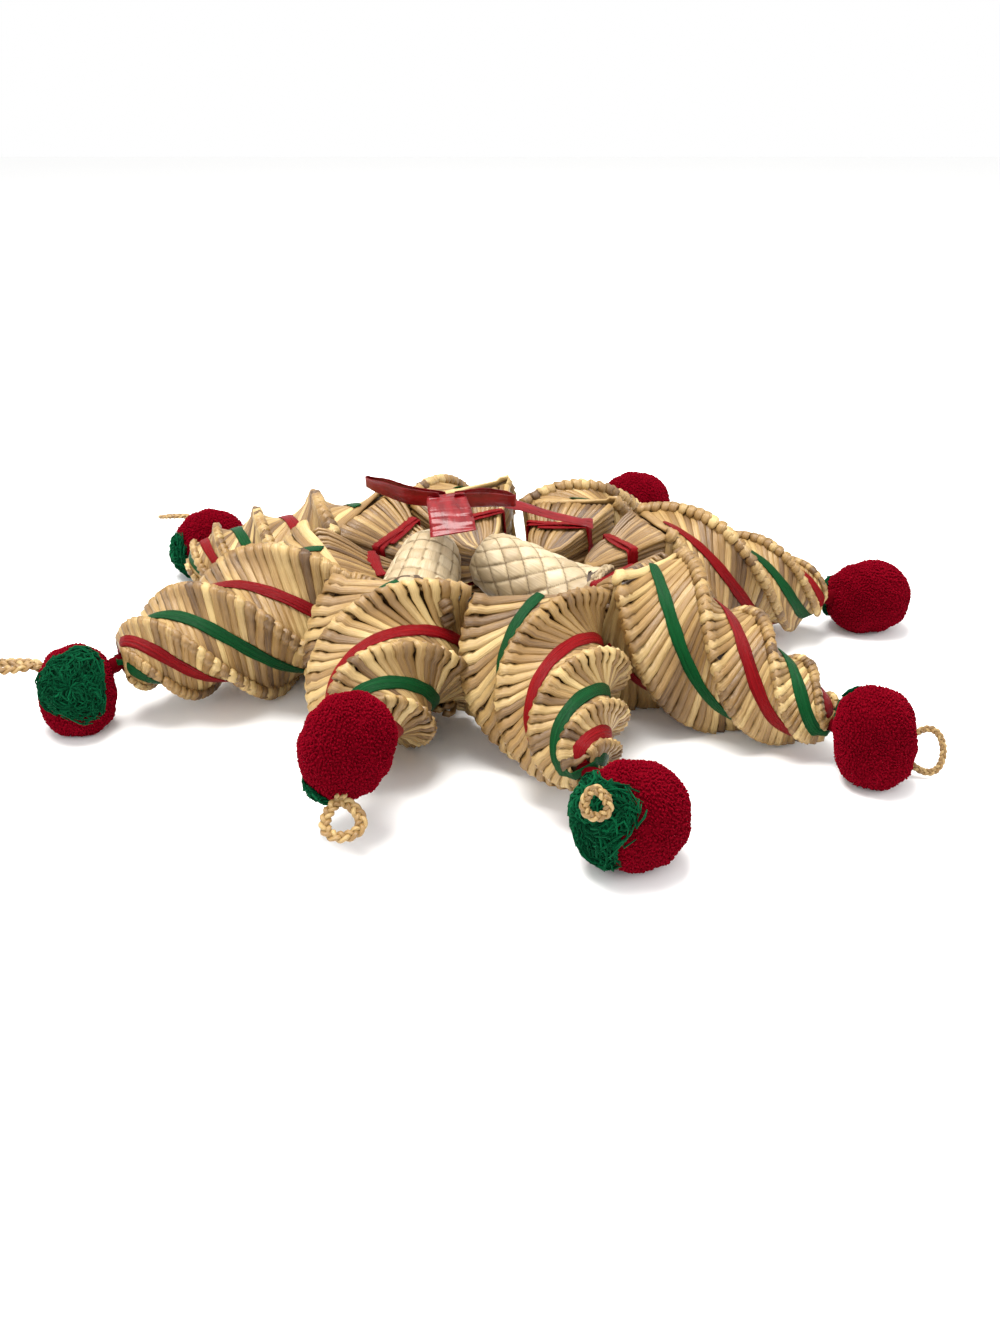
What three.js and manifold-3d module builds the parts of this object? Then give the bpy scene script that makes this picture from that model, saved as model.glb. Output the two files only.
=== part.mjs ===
// Plaited straw star with spiral arms, yarn pompoms, two woven palm bells and a foil bow.
// It lies on its back. Millimetres, +Z up; the star's middle is at x = y = 0 and the table at z = 0
// until the last lines, which move the origin to the middle of the bottom of the bounding box.
import * as THREE from 'three';
import { mergeVertices } from 'three/addons/utils/BufferGeometryUtils.js';
import Module from 'manifold-3d';

const wasm = await Module();
wasm.setup();

// ---------- driving dimensions ----------
const GAP = 0.35;                  // air kept between two pieces that touch in the real thing
const INNER_AT = 45;               // distance from the middle to an arm's blunt inner end
const INNER_CORNER = 14;           // corner radius there
const VALLEY = 0.68;               // middle of a face from the arm's axis, as a share of the corner radius
const BAND_LEVEL = 0.765;         // the same for the underside of a raffia band
const INNER_SWELL = 0.9;           // below 1 the inner cone is fuller than a straight one
const TWIST_STEPS = 10;            // sections from the widest one to the tip
const INNER_STEPS = 3;             // sections of the inner cone
const STRIP_WIDTH = 6;             // raffia band wound in the valleys
const STRIP_THICK = 0.7;
const STRIP_SHARE = 0.38;          // half the band's width is at most this share of the corner radius
const TIE_AT = 61;                 // distance from the middle to the raffia tie of an arm
const TIE_WIDTH = 6;
const TIE_THICK = 0.8;
const TIE_GAP = 1;
const PLAIT_RADIUS = 1.9;          // half the thickness of a hanging loop's plait
const BELL_LENGTH = 60;
const BELL_WALL = 1.8;
const FOIL_THICK = 1.2;            // doubled foil ribbon of the bow

// Each arm: distance of its widest section from the middle, that section's direction and the tip's
// in degrees from +X, distance and height of the tip, height of the widest section, corner radius of
// the widest section and of the tip, swell (how round the spindle is, 1 is a straight cone), the turn
// of the widest section in degrees from flat on top, and the twist in radians for each corner radius.
const ARMS = [
  { place: 'left', at: 87, base: 194, tip: 200.5, reach: 186, lift: 38.4, tipLift: 30, wide: 41.2, end: 4.5,
    swell: 0.47, turn: 39.5, twist: 1.28 },
  { place: 'front_left', at: 79.5, base: 234.6, tip: 246, reach: 145, lift: 37.8, tipLift: 34,
    wide: 41.5, end: 8, swell: 0.45, turn: 45, twist: 1.36 },
  { place: 'front', at: 75, base: 281.8, tip: 281, reach: 163.5, lift: 37, tipLift: 29, wide: 39.8,
    end: 6, swell: 0.58, turn: 43.5, twist: 1.4 },
  { place: 'front_right', at: 75, base: 326, tip: 324.3, reach: 174, lift: 39.4, tipLift: 16.8, wide: 39.8,
    end: 6, swell: 0.6, turn: 40.5, twist: 1.2 },
  { place: 'right', at: 75, base: 12.4, tip: 10.2, reach: 170, lift: 39, tipLift: 21, wide: 39.8,
    end: 5.5, swell: 0.57, turn: 129, twist: 1.22 },
  { place: 'back_right', at: 76, base: 59.5, tip: 63, reach: 168, lift: 34.9, tipLift: 23, wide: 37.5,
    end: 5.5, swell: 0.6, turn: 38, twist: 1.28 },
  { place: 'back', at: 77, base: 106, tip: 107.5, reach: 144.5, lift: 36.5, tipLift: 24, wide: 40.5,
    end: 5.5, swell: 0.62, turn: 40, twist: 1.26 },
  { place: 'back_left', at: 80, base: 150.3, tip: 153.5, reach: 195.5, lift: 39.5, tipLift: 20,
    wide: 40, end: 5, swell: 0.5, turn: 38, twist: 1.24 },
];

// Each pompom: direction and distance of its middle, its height, half its thickness across and along
// its long axis and that axis; the way its green tuft faces, the tuft's reach in degrees round the
// pompom and its thickness; and its hanging loop: where it starts, its direction, length and width,
// and the way its flat side faces.
const POMPOMS = [
  { at: [201.1, 206.6], lift: 19.6, across: 16.5, along: 20.5, axis: [0.05, 0, 1],
    tuft: { way: [-0.08, -0.87, 0.48], reach: 48, thick: 2.5 },
    loop: { root: [-210.5, -73, 31], way: [-0.99, 0.05, -0.08], length: 27, width: 10.5, face: [0, 0, 1] } },
  { at: [248.7, 167], lift: 36, across: 18.5, along: 22, axis: [-0.4, -0.1, -0.9],
    tuft: { way: [-0.5, -0.15, -0.85], reach: 27, thick: 2.5 },
    loop: { root: [-62, -173, 21.5], way: [0.2, -0.9, -0.38], length: 16, width: 17, face: [0, -0.3, 1] } },
  { at: [285.3, 186], lift: 19.6, across: 21, along: 21.5, axis: [-0.88, -0.4, 0.2],
    tuft: { way: [-0.86, -0.5, 0.2], reach: 56, thick: 2.5 },
    loop: { root: [32.4, -198.9, 43.8], way: [0.1, -0.35, -0.93], length: 11.5, width: 13.5,
      face: [-0.3, -0.85, 0.45] } },
  { at: [322, 197.3], lift: 20.6, across: 16.8, along: 21.6, axis: [-0.1, 0.05, 1],
    tuft: { way: [-0.35, 0.88, 0.25], reach: 32, thick: 2 },
    loop: { root: [175.5, -115.5, 11.2], way: [0.98, -0.1, 0.05], length: 10, width: 21,
      face: [0.05, -0.92, 0.4] } },
  { at: [11, 196.5], lift: 17.7, across: 18.8, along: 21.5, axis: [0.97, 0.1, 0.14],
    tuft: { way: [-0.9, 0.42, -0.1], reach: 30, thick: 2 },
    loop: { root: [198, 62, 15], way: [0.1, 0.88, -0.42], length: 22, width: 15, face: [0, 0.4, 1] } },
  { at: [64.8, 198], lift: 20.9, across: 22, along: 22, axis: [0, 0, 1],
    tuft: { way: [-0.82, -0.42, -0.05], reach: 34, thick: 3 },
    loop: { root: [95, 204, 16], way: [0.35, 0.8, -0.45], length: 22, width: 15, face: [0, 0.4, 1] } },
  { at: [123.5, 138], lift: 19.4, across: 20.5, along: 20.5, axis: [0, 0, 1],
    tuft: { way: [0.45, 0.8, 0.4], reach: 36, thick: 2.5 },
    loop: { root: [-90, 134, 17], way: [-0.55, 0.7, -0.45], length: 22, width: 15, face: [0, 0.4, 1] } },
  { at: [145.5, 210], lift: 18.8, across: 20, along: 21, axis: [-0.72, -0.68, 0.1],
    tuft: { way: [-0.82, -0.45, -0.35], reach: 44, thick: 3.5 },
    loop: { root: [-190, 129, 32], way: [-0.75, 0.6, -0.2], length: 20, width: 14, face: [0, 0.2, 1] } },
];

// Each bell: the middle of its crown and a point on its axis towards the mouth.
const BELLS = [
  { place: 'left', crown: [-33.5, 1.5, 63], toward: [-41.5, -39, 43.2] },
  { place: 'right', crown: [-12.5, -10.5, 62.5], toward: [29, -28.6, 42] },
];

// ---------- materials ----------
const plain = (color, roughness, metalness = 0) =>
  new THREE.MeshStandardMaterial({ color, roughness, metalness });
const STRAW = plain(0xc9a468, 0.55);
const PALM = plain(0xd9c9a4, 0.6);
const RED_RAFFIA = plain(0xa80d22, 0.35);
const GREEN_RAFFIA = plain(0x0c6b33, 0.4);
const RED_YARN = plain(0x8f0a20, 0.95);
const GREEN_YARN = plain(0x0c4a26, 0.95);
const RED_FOIL = plain(0xa8102a, 0.2, 0.6);

// ---------- small helpers ----------
const radians = THREE.MathUtils.degToRad;
const vector = (list) => new THREE.Vector3(...list);
const unit = (list) => vector(list).normalize();
const along = (start, direction, distance) => start.clone().addScaledVector(direction, distance);
const blend = (from, to, share) => from + (to - from) * share;
const polar = (degrees, distance, height) =>
  new THREE.Vector3(distance * Math.cos(radians(degrees)), distance * Math.sin(radians(degrees)), height);

/** Closed body from rings of equally many points; open ends get a fan, a loop joins end to start. */
function skin(rings, { loop = false, diagonal = () => false } = {}) {
  const count = rings[0].length;
  const points = rings.flat();
  const faces = [];
  const spans = loop ? rings.length : rings.length - 1;
  for (let i = 0; i < spans; i += 1) {
    const near = i * count;
    const far = ((i + 1) % rings.length) * count;
    for (let j = 0; j < count; j += 1) {
      const next = (j + 1) % count;
      if (diagonal(j)) {
        faces.push(near + j, near + next, far + j, near + next, far + next, far + j);
      } else {
        faces.push(near + j, near + next, far + next, near + j, far + next, far + j);
      }
    }
  }
  if (!loop) {
    const last = (rings.length - 1) * count;
    for (let j = 1; j < count - 1; j += 1) {
      faces.push(0, j + 1, j, last, last + j, last + j + 1);
    }
  }
  return outward(points, faces);
}

/** Geometry whose faces point out, whichever way its rings ran. */
function outward(points, faces) {
  let volume = 0;
  for (let i = 0; i < faces.length; i += 3) {
    const [a, b, c] = [points[faces[i]], points[faces[i + 1]], points[faces[i + 2]]];
    volume += a.dot(b.clone().cross(c));
  }
  const turned = [];
  for (let i = 0; i < faces.length; i += 3) {
    const [a, b, c] = faces.slice(i, i + 3);
    turned.push(...(volume < 0 ? [a, c, b] : [a, b, c]));
  }
  const geometry = new THREE.BufferGeometry().setFromPoints(points);
  geometry.setIndex(turned);
  return geometry;
}

/** The same geometry as a solid that can be joined and cut. */
function toSolid(geometry) {
  const bare = geometry.clone();
  bare.deleteAttribute('normal');
  bare.deleteAttribute('uv');
  const merged = mergeVertices(bare, 1e-4);
  return new wasm.Manifold(new wasm.Mesh({
    numProp: 3,
    vertProperties: new Float32Array(merged.attributes.position.array),
    triVerts: new Uint32Array(merged.index.array),
  }));
}

/** A solid's surface as a geometry. */
function fromSolid(solid) {
  const mesh = solid.getMesh();
  const geometry = new THREE.BufferGeometry();
  geometry.setAttribute('position', new THREE.BufferAttribute(mesh.vertProperties, 3));
  geometry.setIndex(new THREE.BufferAttribute(mesh.triVerts, 1));
  return geometry;
}

/** What is left of a geometry above the table, with a flat spot where it rested. */
function restOnTable(geometry) {
  const slab = new THREE.BoxGeometry(1000, 1000, 100).translate(0, 0, -50);
  return fromSolid(toSolid(geometry).subtract(toSolid(slab)));
}

// ---------- arms ----------
/** An arm's axis, its two cross directions and its sections from the inner end to the tip. */
function armFrame(arm) {
  const base = polar(arm.base, arm.at, arm.lift);
  const tip = polar(arm.tip, arm.reach, arm.tipLift);
  const out = tip.clone().sub(base);
  const length = out.length();
  out.normalize();
  const up = new THREE.Vector3(0, 0, 1).addScaledVector(out, -out.z).normalize();
  const side = out.clone().cross(up);
  return { base, tip, out, up, side, length };
}

/** Corner radius of the outer spindle at a share of its length. */
const spindle = (arm, share) => blend(arm.end, arm.wide, (1 - share) ** arm.swell);

/** Sections of an arm: middle, cross directions, corner radius and turn, at equal steps of turn. */
function armSections(arm) {
  const frame = armFrame(arm);
  const fine = 400;
  const turns = [0];
  for (let i = 1; i <= fine; i += 1) {
    const radius = spindle(arm, (i - 0.5) / fine);
    turns.push(turns[i - 1] + (arm.twist * frame.length) / (fine * radius));
  }
  const sections = [];
  for (let i = 0; i < INNER_STEPS; i += 1) {
    const share = i / INNER_STEPS;
    const distance = blend(INNER_AT, arm.at, share);
    sections.push({
      ...frame,
      middle: polar(arm.base, distance, arm.lift),
      out: polar(arm.base, 1, 0),
      up: new THREE.Vector3(0, 0, 1),
      side: polar(arm.base - 90, 1, 0),
      radius: blend(INNER_CORNER, arm.wide, share ** INNER_SWELL),
      turn: radians(arm.turn),
    });
  }
  for (let i = 0; i <= TWIST_STEPS; i += 1) {
    const wanted = (turns[fine] * i) / TWIST_STEPS;
    const share = Math.min(1, turns.findIndex((turn) => turn >= wanted - 1e-9) / fine);
    sections.push({
      ...frame,
      middle: along(frame.base, frame.out, share * frame.length),
      radius: spindle(arm, share),
      turn: radians(arm.turn) + wanted,
    });
  }
  return sections;
}

/** Direction from a section's middle at an angle from the top towards the side. */
const spoke = (section, angle) =>
  section.up.clone().multiplyScalar(Math.cos(angle)).addScaledVector(section.side, Math.sin(angle));

/** The square section as eight points: four corners and the middles of the four sides. */
function squareRing(section) {
  const ring = [];
  for (let corner = 0; corner < 4; corner += 1) {
    const angle = section.turn - (corner * Math.PI) / 2;
    ring.push(along(section.middle, spoke(section, angle), section.radius));
    ring.push(along(section.middle, spoke(section, angle - Math.PI / 4), section.radius * VALLEY));
  }
  return ring;
}

const armGeometry = (arm) => skin(armSections(arm).map(squareRing), { diagonal: (j) => j % 2 === 0 });

/** A raffia band up the middle of one face, over the tip and down the opposite face. */
function stripGeometry(arm, face, overTip, skipped) {
  const sections = armSections(arm).slice(INNER_STEPS + skipped);
  const rings = [];
  const ring = (section, sign, lifts, ends) => {
    const angle = section.turn - Math.PI / 4 - (face * Math.PI) / 2;
    const normal = spoke(section, angle).multiplyScalar(sign);
    const cross = spoke(section, angle + Math.PI / 2);
    const half = Math.min(STRIP_WIDTH / 2, section.radius * STRIP_SHARE);
    const foot = along(section.middle, normal, section.radius * BAND_LEVEL);
    const low = along(along(foot, normal, lifts[0]), section.out, ends[0]);
    const high = along(along(foot, normal, lifts[1]), section.out, ends[1]);
    return [along(low, cross, -half), along(low, cross, half), along(high, cross, half),
      along(high, cross, -half)];
  };
  const flat = [GAP, GAP + STRIP_THICK];
  const tipEnds = [overTip, overTip + STRIP_THICK];
  const last = sections[sections.length - 1];
  for (const section of sections.slice(0, -1)) rings.push(ring(section, 1, flat, [0, 0]));
  rings.push(ring(last, 1, flat, tipEnds));
  rings.push(ring(last, -1, flat, tipEnds));
  for (const section of sections.slice(0, -1).reverse()) rings.push(ring(section, -1, flat, [0, 0]));
  return skin(rings);
}

/** A raffia hoop round an arm's inner cone. */
function tieGeometry(arm) {
  const sections = armSections(arm);
  const [near, far] = [sections[1], sections[2]];
  const [start, end] = [near, far].map(({ middle }) => Math.hypot(middle.x, middle.y));
  const slice = (distance) => {
    const beyond = squareRing(far);
    return squareRing(near).map((point, j) => point.lerp(beyond[j], (distance - start) / (end - start)));
  };
  const lifted = (ring, j, height) => {
    const middle = ring[0].clone().add(ring[4]).multiplyScalar(0.5);
    const spread = j % 2 === 0 ? Math.SQRT2 : 1;
    return along(ring[j], ring[j].clone().sub(middle).normalize(), height * spread);
  };
  const inner = slice(TIE_AT - TIE_WIDTH / 2);
  const outer = slice(TIE_AT + TIE_WIDTH / 2);
  const top = TIE_GAP + TIE_THICK;
  const rings = inner.map((point, j) => [
    lifted(inner, j, TIE_GAP), lifted(outer, j, TIE_GAP), lifted(outer, j, top), lifted(inner, j, top)]);
  return skin(rings, { loop: true });
}

// ---------- pompoms, tufts and hanging loops ----------
const POMPOM_SIDES = 12;
const POMPOM_RINGS = 6;
const TUFT_GAP = 0.8;               // the tuft's facets clear the pompom's by this much

/** Turns a shape made round +Z so that its axis points along a direction. */
const pointed = (geometry, direction) =>
  geometry.applyQuaternion(new THREE.Quaternion().setFromUnitVectors(new THREE.Vector3(0, 0, 1), direction));

const pompomMiddle = (pompom) => polar(pompom.at[0], pompom.at[1], pompom.lift);

/** The pompom's egg shape, made larger all round by a length. */
function yarnBall(pompom, lift) {
  const ball = new THREE.SphereGeometry(1, POMPOM_SIDES, POMPOM_RINGS).rotateX(Math.PI / 2);
  ball.scale(pompom.across + lift, pompom.across + lift, pompom.along + lift);
  const middle = pompomMiddle(pompom);
  return pointed(ball, unit(pompom.axis)).translate(middle.x, middle.y, middle.z);
}

const pompomGeometry = (pompom) => restOnTable(yarnBall(pompom, 0));

/** A cap of yarn over the pompom's tie: a shell outside the pompom, cut off by a plane. */
function tuftGeometry(pompom) {
  const { way, reach, thick } = pompom.tuft;
  const shell = toSolid(yarnBall(pompom, TUFT_GAP + thick)).subtract(toSolid(yarnBall(pompom, TUFT_GAP)));
  const level = ((pompom.across + pompom.along) / 2) * Math.cos(radians(reach));
  const half = new THREE.BoxGeometry(120, 120, 60).translate(0, 0, level + 30);
  const middle = pompomMiddle(pompom);
  const placed = pointed(half, unit(way)).translate(middle.x, middle.y, middle.z);
  return restOnTable(fromSolid(shell.intersect(toSolid(placed))));
}

/** A hanging loop: a plait bent to a drop-shaped ring beside the pompom. */
function loopGeometry(pompom) {
  const { root, way, length, width, face } = pompom.loop;
  const forward = unit(way);
  const flat = vector(face).addScaledVector(forward, -vector(face).dot(forward)).normalize();
  const across = flat.clone().cross(forward);
  const start = vector(root);
  const rings = [];
  const steps = 11;
  const sides = 5;
  for (let i = 0; i < steps; i += 1) {
    const angle = (2 * Math.PI * i) / steps;
    const forwardShare = (1 - Math.cos(angle)) / 2;
    const sideShare = Math.sin(angle) * (0.55 + 0.45 * forwardShare);
    const spot = along(along(start, forward, length * forwardShare), across, (width / 2) * sideShare);
    const outwardWay = along(forward.clone().multiplyScalar(-Math.cos(angle)), across, Math.sin(angle));
    const ring = [];
    for (let j = 0; j < sides; j += 1) {
      const turn = (2 * Math.PI * j) / sides;
      const lift = outwardWay.clone().multiplyScalar(Math.cos(turn)).addScaledVector(flat, Math.sin(turn));
      ring.push(along(spot, lift, PLAIT_RADIUS));
    }
    rings.push(ring);
  }
  return skin(rings, { loop: true });
}

// ---------- bells ----------
/** Outer radius of a bell at a share of its length from the crown to the mouth. */
const BELL_SIDES = 12;
const BELL_PROFILE = [[0, 5], [0.03, 10], [0.12, 14], [0.35, 16.9], [0.6, 18.7], [0.8, 20.9], [0.92, 24],
  [1, 27.2]];

/** Turns a shape made round +Z so that it stands on a bell's crown and points to its mouth. */
function placedBell(shape, bell) {
  const crown = vector(bell.crown);
  return pointed(shape, vector(bell.toward).sub(crown).normalize()).translate(crown.x, crown.y, crown.z);
}

function bellGeometry(bell) {
  const outside = BELL_PROFILE.map(([share, radius]) => new THREE.Vector2(radius, share * BELL_LENGTH));
  const inside = BELL_PROFILE.slice(1).map(([share, radius]) =>
    new THREE.Vector2(radius - BELL_WALL, Math.max(share * BELL_LENGTH, BELL_WALL)));
  const profile = [new THREE.Vector2(0, 0), ...outside, ...inside.reverse(), new THREE.Vector2(0, BELL_WALL)];
  return placedBell(new THREE.LatheGeometry(profile, BELL_SIDES).rotateX(Math.PI / 2), bell);
}

/** The room a bell takes, mouth and all, with the usual gap: what the straw gives way to. */
function bellRoom(bell) {
  const outside = BELL_PROFILE.map(([share, radius]) =>
    new THREE.Vector2(radius + 2 * GAP, share * BELL_LENGTH + (share === 1 ? 1 : -GAP)));
  const profile = [new THREE.Vector2(0, -GAP), ...outside, new THREE.Vector2(0, BELL_LENGTH + 1)];
  return placedBell(new THREE.LatheGeometry(profile, BELL_SIDES).rotateX(Math.PI / 2), bell);
}

/** A geometry less the bells' room; only its largest piece is kept. */
function clearOfBells(geometry) {
  const rooms = BELLS.map((bell) => toSolid(bellRoom(bell)));
  const left = rooms.reduce((solid, room) => solid.subtract(room), toSolid(geometry));
  const parts = left.decompose().sort((a, b) => b.volume() - a.volume());
  return fromSolid(parts[0]);
}

// ---------- bow ----------
/** A flat ribbon along a path; each stop is a point and the direction of the ribbon's width. */
function ribbon(stops) {
  const rings = stops.map(({ at, wide, width }, i) => {
    const before = vector(stops[Math.max(0, i - 1)].at);
    const after = vector(stops[Math.min(stops.length - 1, i + 1)].at);
    const ahead = after.sub(before).normalize();
    const cross = unit(wide).addScaledVector(ahead, -unit(wide).dot(ahead)).normalize();
    const normal = ahead.clone().cross(cross);
    const corner = (side, lift) =>
      along(along(vector(at), cross, (side * width) / 2), normal, (lift * FOIL_THICK) / 2);
    return [corner(-1, -1), corner(1, -1), corner(1, 1), corner(-1, 1)];
  });
  return skin(rings);
}

function bowGeometry() {
  const upright = [0, -0.4, 0.92];
  const level = [0.1, 0.95, 0.3];
  const leftLoop = ribbon([
    { at: [-30, -7, 87], wide: upright, width: 9 }, { at: [-46, 2, 86], wide: upright, width: 10 },
    { at: [-60, 12, 87], wide: upright, width: 9 }, { at: [-68, 19, 87.5], wide: upright, width: 6 },
    { at: [-67, 24, 87], wide: upright, width: 6 }, { at: [-56, 19, 86], wide: upright, width: 8 },
    { at: [-43, 9, 85], wide: upright, width: 9 }, { at: [-27, -2, 86], wide: upright, width: 9 },
  ]);
  const rightLoop = ribbon([
    { at: [-24, -8, 87], wide: upright, width: 9 }, { at: [-10, -2, 85.5], wide: upright, width: 9 },
    { at: [3, 5, 82.5], wide: upright, width: 7 }, { at: [6, 10, 81.5], wide: upright, width: 6 },
    { at: [1, 13, 82.5], wide: upright, width: 7 }, { at: [-10, 8, 85], wide: upright, width: 8 },
    { at: [-24, 0, 86], wide: upright, width: 8 },
  ]);
  const panel = ribbon([
    { at: [-27.5, -4, 89], wide: [0.84, 0.54, 0.1], width: 19 },
    { at: [-26.5, -14, 88.5], wide: [0.93, 0.3, 0.05], width: 20 },
    { at: [-24.5, -25, 85.5], wide: [0.95, -0.2, -0.05], width: 21 },
    { at: [-22.9, -36.5, 80.5], wide: [0.79, -0.58, -0.18], width: 21.5 },
  ]);
  const tail = ribbon([
    { at: [-22, -1, 86], wide: level, width: 7 }, { at: [-6, 17, 79], wide: level, width: 7 },
    { at: [9, 25, 73], wide: level, width: 8 }, { at: [24, 25.5, 68.5], wide: level, width: 7 },
    { at: [38, 25, 65.5], wide: level, width: 6 }, { at: [46, 25, 64], wide: level, width: 9 },
  ]);
  const knot = new THREE.SphereGeometry(1, 8, 5).scale(6, 5, 5).translate(-27, -3.5, 86.5);
  return fromSolid([leftLoop, rightLoop, panel, tail, knot].map(toSolid).reduce((sum, one) => sum.add(one)));
}

// ---------- the star ----------
const star = new THREE.Group();
const piece = (name, geometry, material) => {
  const mesh = new THREE.Mesh(geometry, material);
  mesh.name = name;
  star.add(mesh);
};

ARMS.forEach((arm, i) => {
  piece(`arm_${arm.place}`, clearOfBells(armGeometry(arm)), STRAW);
  piece(`green_band_${arm.place}`, stripGeometry(arm, 0, 2.2, 0), GREEN_RAFFIA);
  piece(`red_band_${arm.place}`, stripGeometry(arm, 1, GAP, 1), RED_RAFFIA);
  piece(`tie_${arm.place}`, clearOfBells(tieGeometry(arm)), RED_RAFFIA);
  piece(`pompom_${arm.place}`, pompomGeometry(POMPOMS[i]), RED_YARN);
  piece(`tuft_${arm.place}`, tuftGeometry(POMPOMS[i]), GREEN_YARN);
  piece(`loop_${arm.place}`, loopGeometry(POMPOMS[i]), STRAW);
});
BELLS.forEach((bell) => piece(`bell_${bell.place}`, bellGeometry(bell), PALM));
piece('bow', bowGeometry(), RED_FOIL);

const box = new THREE.Box3().setFromObject(star);
const middle = box.getCenter(new THREE.Vector3());
star.position.set(-middle.x, -middle.y, -box.min.z);

const group = new THREE.Group();
group.add(star);

export default group;
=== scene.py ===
# %% [markdown]
# A straw star from a folk market: eight spiral arms plaited from wheat straw, raffia bands in
# their valleys, yarn pompoms at their tips, and two little bells of woven palm leaf under a foil
# bow. The solid model already settles where everything is, so it is loaded first and never moved.
# The new surfaces are laid over it, in the same frame.

# %% The frame
import math

import bpy
import numpy as np
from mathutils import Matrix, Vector


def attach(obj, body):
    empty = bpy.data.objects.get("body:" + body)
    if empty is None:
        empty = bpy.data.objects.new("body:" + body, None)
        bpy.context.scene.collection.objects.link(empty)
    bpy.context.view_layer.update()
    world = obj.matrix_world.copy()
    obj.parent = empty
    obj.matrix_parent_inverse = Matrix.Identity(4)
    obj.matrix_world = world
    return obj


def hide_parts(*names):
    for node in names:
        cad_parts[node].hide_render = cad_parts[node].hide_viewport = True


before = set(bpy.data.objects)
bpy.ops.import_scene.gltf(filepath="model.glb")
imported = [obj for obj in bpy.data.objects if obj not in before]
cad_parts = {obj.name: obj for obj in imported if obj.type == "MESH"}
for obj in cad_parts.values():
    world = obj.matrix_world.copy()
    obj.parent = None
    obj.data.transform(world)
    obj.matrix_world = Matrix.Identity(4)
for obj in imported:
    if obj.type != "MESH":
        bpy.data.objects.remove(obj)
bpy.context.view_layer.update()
print("solid pieces:", len(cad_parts))

# %% [markdown]
# The star's own numbers are in millimetres from its middle. One helper turns them into the
# frame's metres, and presses anything that would sink into the table flat on it, as soft straw
# and yarn do.

# %% Units and small vector helpers
STAR_MIDDLE = np.array([12.345, -9.348, 0.0])    # mm, where the star's middle is in the frame
TABLE = 0.25                                     # mm, the lowest a straw or thread may lie
chance = np.random.default_rng(24)


def to_frame(points):
    """Millimetres from the star's middle -> metres in the frame, with nothing under the table."""
    moved = points + STAR_MIDDLE
    moved[..., 2] = np.maximum(moved[..., 2], TABLE)
    return moved / 1000


def unit(vectors):
    """Each vector divided by its length."""
    return vectors / np.maximum(np.linalg.norm(vectors, axis=-1, keepdims=True), 1e-9)


def polar(degrees, distance, height):
    """A point at a compass angle from +X, a distance from the middle and a height."""
    turn = np.radians(degrees)
    return np.stack(np.broadcast_arrays(distance * np.cos(turn), distance * np.sin(turn),
                                        height), axis=-1).astype(float)


def mix(low, high, share):
    """low + (high - low) times share."""
    return low + (high - low) * share


# %% [markdown]
# Nearly everything here is a long thin thing: straws, threads, ribbons and strips of leaf. One
# function makes flattened tubes, hundreds at a time: it carries an ellipse along each path and
# closes both ends. Every point remembers how far along and across its strip it is, and the
# strip's shade, so that a finish can follow the strip.

# %% Flattened tubes
def tubes(path, across, width, thick, tone, sides=8):
    """Point = path + across * width/2 * cos a + normal * thick/2 * sin a, for a round the ring.
    path and across are (tubes, stations, 3); normal is direction x across. Returns a part."""
    count, stations, _ = path.shape
    direction = unit(np.gradient(path, axis=1))
    across = unit(across - direction * np.sum(across * direction, axis=-1, keepdims=True))
    normal = np.cross(direction, across)
    angle = 2 * np.pi * (np.arange(sides) + 0.5) / sides
    width = np.broadcast_to(width, (count, stations))
    thick = np.broadcast_to(thick, (count, stations))
    side = (width[..., None] / 2) * np.cos(angle)
    lift = (thick[..., None] / 2) * np.sin(angle)
    points = (path[:, :, None] + across[:, :, None] * side[..., None]
              + normal[:, :, None] * lift[..., None])
    steps = np.linalg.norm(np.diff(path, axis=1), axis=-1)
    length = np.concatenate([np.zeros((count, 1)), np.cumsum(steps, axis=1)], axis=1)
    run = np.stack([np.broadcast_to(length[..., None], side.shape), side,
                    np.broadcast_to(np.reshape(tone, (-1, 1, 1)), side.shape)], axis=-1)
    start = (np.arange(count) * stations * sides)[:, None, None]
    here = start + (np.arange(stations - 1) * sides)[:, None] + np.arange(sides)
    beside = start + (np.arange(stations - 1) * sides)[:, None] + (np.arange(sides) + 1) % sides
    quads = np.stack([here, beside, beside + sides, here + sides], axis=-1).reshape(-1, 4)
    first = start[:, 0] + np.arange(sides)[::-1]
    last = first[:, ::-1] + (stations - 1) * sides
    return points.reshape(-1, 3), [quads, first, last], run.reshape(-1, 3)


# %% [markdown]
# A bell, a ball of yarn and the core of an arm are stacks of rings instead. One ring is joined to
# the next by quads, and a single many-sided face closes each end, so that no pole is left open.

# %% Stacked rings
def stacked_rings(points, run):
    """A closed skin over rings of points (rings, places, 3): quads between neighbouring rings,
    the last place joined to the first, and one face over each end."""
    rings, places, _ = points.shape
    start = np.arange(rings - 1)[:, None] * places
    here, beside = start + np.arange(places), start + (np.arange(places) + 1) % places
    quads = np.stack([here, beside, beside + places, here + places], axis=-1).reshape(-1, 4)
    around = np.arange(places)[None]
    ends = [around[:, ::-1], (rings - 1) * places + around]
    return points.reshape(-1, 3), [quads, *ends], run.reshape(-1, 3)


def join_parts(parts):
    """Several parts as one: points stacked, face numbers shifted."""
    points = np.concatenate([part[0] for part in parts])
    run = np.concatenate([part[2] for part in parts])
    faces, shift = [], 0
    for own_points, own_faces, _ in parts:
        faces += [block + shift for block in own_faces]
        shift += len(own_points)
    return points, faces, run


# %% [markdown]
# A part is only numbers until it becomes a mesh. Each mesh stands in for one solid piece, rides on
# the star's one body, and keeps its strip numbers as an attribute.

# %% From numbers to a piece
def placed(name, data):
    """A new object in the scene for a mesh, a light or a camera."""
    thing = bpy.data.objects.new(name, data)
    bpy.context.scene.collection.objects.link(thing)
    return thing


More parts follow.
